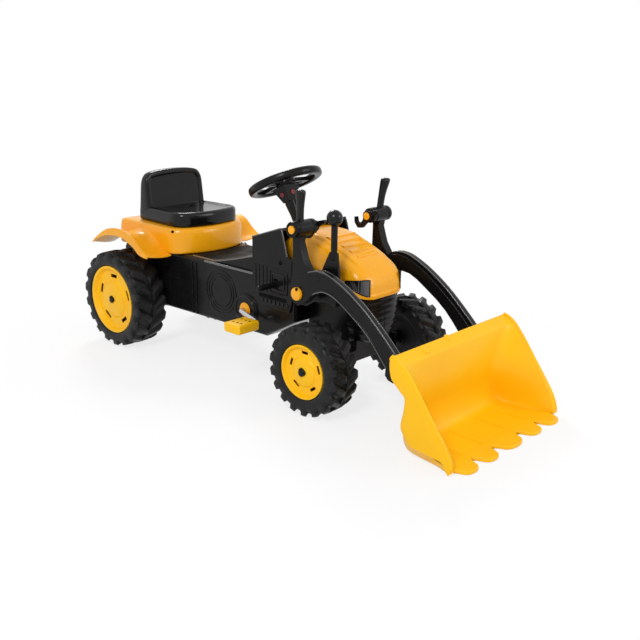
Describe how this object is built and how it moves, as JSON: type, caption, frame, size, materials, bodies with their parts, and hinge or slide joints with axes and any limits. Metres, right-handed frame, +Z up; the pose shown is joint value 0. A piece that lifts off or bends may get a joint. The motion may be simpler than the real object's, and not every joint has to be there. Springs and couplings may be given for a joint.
{
  "type": "ride-on pedal tractor toy",
  "caption": "Child's pedal tractor with steered front wheels, chain drive to the rear axle, moulded seat and a hand-lifted front loader whose bucket tips by a lever.",
  "frame": {"origin": "on the floor under the middle of the whole toy's box", "axes": "+X forward towards the bucket, +Y to the rider's left, +Z up"},
  "size_m": [1.4018, 0.4824, 0.5776],
  "materials": {
    "yellow_plastic": "glossy moulded polyethylene, warm yellow",
    "black_plastic": "satin moulded plastic, near black",
    "tyre_plastic": "satin blow-moulded tyre, near black",
    "lamp_plastic": "glossy black lamp cover",
    "red_plastic": "glossy red push button",
    "steel": "plain zinc-plated steel rod"
  },
  "bodies": {
    "chassis": {"hull_right": "black_plastic", "hull_left": "black_plastic", "rear_axle_bushes": "yellow_plastic", "crank_bushes": "yellow_plastic", "drive_chain": "steel", "tow_hitch": "black_plastic", "rear_body": "yellow_plastic", "seat": "black_plastic", "console": "black_plastic", "console_screws": "steel", "steering_column": "black_plastic", "nose_frame": "black_plastic", "bonnet": "yellow_plastic", "headlight_right": "lamp_plastic", "headlight_left": "lamp_plastic", "grille": "black_plastic", "front_axle_beam": "black_plastic"},
    "rear_drive": {"rear_axle": "steel", "axle_sprocket": "steel", "rear_tyre_right": "tyre_plastic", "rear_rim_right": "yellow_plastic", "rear_hub_cap_right": "black_plastic"},
    "rear_wheel_left": {"rear_tyre_left": "tyre_plastic", "rear_rim_left": "yellow_plastic", "rear_hub_cap_left": "black_plastic"},
    "crank": {"crank_shaft": "steel", "drive_sprocket": "steel"},
    "right_pedal": {"pedal_right": "yellow_plastic"},
    "left_pedal": {"pedal_left": "yellow_plastic"},
    "steering": {"steering_wheel": "black_plastic", "steering_hub": "black_plastic", "steering_shaft": "steel"},
    "horn": {"horn_button": "red_plastic"},
    "sound": {"sound_button": "red_plastic"},
    "right_knuckle": {"knuckle_right": "steel"},
    "left_knuckle": {"knuckle_left": "steel"},
    "tie": {"tie_rod": "steel"},
    "front_wheel_right": {"front_tyre_right": "tyre_plastic", "front_rim_right": "yellow_plastic", "front_hub_cap_right": "black_plastic"},
    "front_wheel_left": {"front_tyre_left": "tyre_plastic", "front_rim_left": "yellow_plastic", "front_hub_cap_left": "black_plastic"},
    "loader": {"loader_arm_right": "black_plastic", "loader_arm_left": "black_plastic", "loader_handle_right": "black_plastic", "loader_handle_left": "black_plastic", "loader_shaft": "steel", "pivot_caps": "yellow_plastic", "knob_caps": "yellow_plastic", "lever_pin": "steel"},
    "bucket_assembly": {"bucket": "yellow_plastic", "bucket_brackets": "black_plastic", "bucket_pins": "steel"},
    "lever": {"tilt_lever": "black_plastic", "lever_ball": "black_plastic"},
    "link": {"tilt_link": "black_plastic"},
    "right_latch": {"latch_hook_right": "black_plastic"},
    "left_latch": {"latch_hook_left": "black_plastic"},
    "stub": {"stub_lever": "black_plastic"}
  },
  "joints": [
    {"name": "rear_drive_spin", "type": "hinge", "parent": "chassis", "child": "rear_drive", "pos_m": [-0.556, 0, 0.145], "axis": [0, 1, 0], "continuous": true},
    {"name": "rear_wheel_left_spin", "type": "hinge", "parent": "chassis", "child": "rear_wheel_left", "pos_m": [-0.556, 0.189, 0.145], "axis": [0, 1, 0], "continuous": true},
    {"name": "crank_spin", "type": "hinge", "parent": "chassis", "child": "crank", "pos_m": [-0.086, 0, 0.188], "axis": [0, 1, 0], "continuous": true},
    {"name": "pedal_right_spin", "type": "hinge", "parent": "crank", "child": "right_pedal", "pos_m": [-0.02321, -0.192, 0.17118], "axis": [0, 1, 0], "continuous": true},
    {"name": "pedal_left_spin", "type": "hinge", "parent": "crank", "child": "left_pedal", "pos_m": [-0.14879, 0.192, 0.20482], "axis": [0, 1, 0], "continuous": true},
    {"name": "steering_turn", "type": "hinge", "parent": "chassis", "child": "steering", "pos_m": [-0.055, 0, 0.526], "axis": [-0.4384, 0, 0.8988], "range_deg": [-60, 60]},
    {"name": "horn_press", "type": "slide", "parent": "steering", "child": "horn", "axis": [-0.9696, 0, -0.2447], "range_m": [0, 0.0015], "stiffness_N_per_m": 200},
    {"name": "sound_press", "type": "slide", "parent": "steering", "child": "sound", "axis": [-0.1301, 0.955, 0.2667], "range_m": [0, 0.0015], "stiffness_N_per_m": 200},
    {"name": "knuckle_right_turn", "type": "hinge", "parent": "chassis", "child": "right_knuckle", "pos_m": [0.227, -0.104, 0.116], "axis": [0, 0, 1], "range_deg": [-19.2, 19.2]},
    {"name": "knuckle_left_turn", "type": "hinge", "parent": "chassis", "child": "left_knuckle", "pos_m": [0.227, 0.104, 0.116], "axis": [0, 0, 1], "range_deg": [-19.2, 19.2]},
    {"name": "tie_rod_turn", "type": "hinge", "parent": "right_knuckle", "child": "tie", "pos_m": [0.122, -0.104, 0.0904], "axis": [0, 0, 1], "range_deg": [-19.2, 19.2]},
    {"name": "front_wheel_right_spin", "type": "hinge", "parent": "right_knuckle", "child": "front_wheel_right", "pos_m": [0.227, -0.184, 0.116], "axis": [0, 1, 0], "continuous": true},
    {"name": "front_wheel_left_spin", "type": "hinge", "parent": "left_knuckle", "child": "front_wheel_left", "pos_m": [0.227, 0.184, 0.116], "axis": [0, 1, 0], "continuous": true},
    {"name": "loader_lift", "type": "hinge", "parent": "chassis", "child": "loader", "pos_m": [0.154, 0, 0.288], "axis": [0, -1, 0], "range_deg": [0, 25]},
    {"name": "bucket_tip", "type": "hinge", "parent": "loader", "child": "bucket_assembly", "pos_m": [0.474, 0, 0.165], "axis": [0, 1, 0], "range_deg": [0, 45]},
    {"name": "tilt_lever_turn", "type": "hinge", "parent": "loader", "child": "lever", "pos_m": [0.223, -0.13, 0.34], "axis": [0, 1, 0], "range_deg": [0, 45]},
    {"name": "tilt_link_turn", "type": "hinge", "parent": "lever", "child": "link", "pos_m": [0.201, -0.12, 0.332], "axis": [0, 1, 0], "range_deg": [-45, 0]},
    {"name": "latch_right_turn", "type": "hinge", "parent": "loader", "child": "right_latch", "pos_m": [0.15, -0.1025, 0.449], "axis": [0, 1, 0], "range_deg": [-10, 8]},
    {"name": "latch_left_turn", "type": "hinge", "parent": "loader", "child": "left_latch", "pos_m": [0.15, 0.1025, 0.449], "axis": [0, 1, 0], "range_deg": [-10, 8]},
    {"name": "stub_lever_turn", "type": "hinge", "parent": "chassis", "child": "stub", "pos_m": [0.036, -0.1215, 0.282], "axis": [1, 0, 0], "range_deg": [-10, 10]}
  ],
  "couplings": [
    {"joint": "crank_spin", "follows": "rear_drive_spin", "ratio": 0.42857},
    {"joint": "knuckle_right_turn", "follows": "steering_turn", "ratio": 0.32},
    {"joint": "knuckle_left_turn", "follows": "steering_turn", "ratio": 0.32},
    {"joint": "tie_rod_turn", "follows": "steering_turn", "ratio": -0.32},
    {"joint": "tilt_lever_turn", "follows": "bucket_tip", "ratio": 1},
    {"joint": "tilt_link_turn", "follows": "bucket_tip", "ratio": -1}
  ]
}
